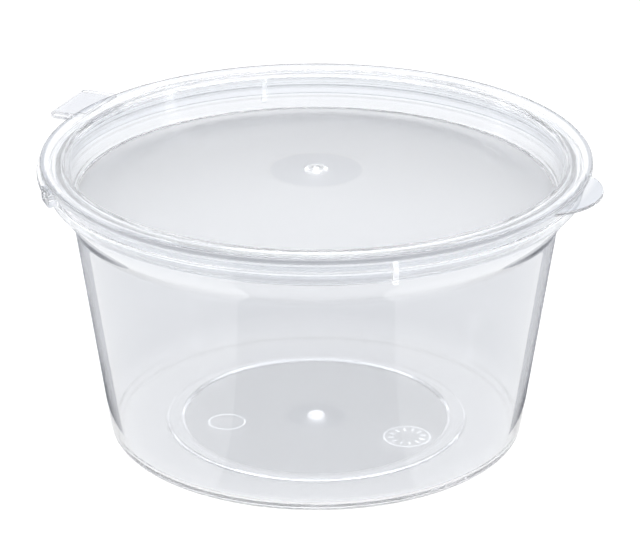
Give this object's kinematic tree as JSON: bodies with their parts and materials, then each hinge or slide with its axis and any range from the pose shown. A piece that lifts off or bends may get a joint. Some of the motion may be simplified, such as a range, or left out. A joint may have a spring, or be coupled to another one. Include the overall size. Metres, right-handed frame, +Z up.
{
  "type": "hinged plastic portion container",
  "caption": "Round clear plastic portion cup with a tapered wall and a recessed snap lid hinged to its rim, with a finger tab opposite the hinge.",
  "frame": {"origin": "centre of the cup's flat underside", "axes": "+Z up along the cup's axis; the hinge line lies towards -X, parallel to Y, and the finger tab points to +X"},
  "size_m": [0.0822, 0.075, 0.04],
  "materials": {
    "clear_cup": "clear polypropylene, glossy wall, lightly frosted floor",
    "clear_lid": "clear polypropylene, glossy rim, lightly frosted panel"
  },
  "bodies": {
    "cup": {"cup": "clear_cup", "hinge_film": "clear_cup"},
    "lid": {"lid": "clear_lid"}
  },
  "joints": [
    {"name": "lid_hinge", "type": "hinge", "parent": "cup", "child": "lid", "pos_m": [-0.0413, 0, 0.03895], "axis": [0, -1, 0], "range_deg": [0, 180]}
  ]
}
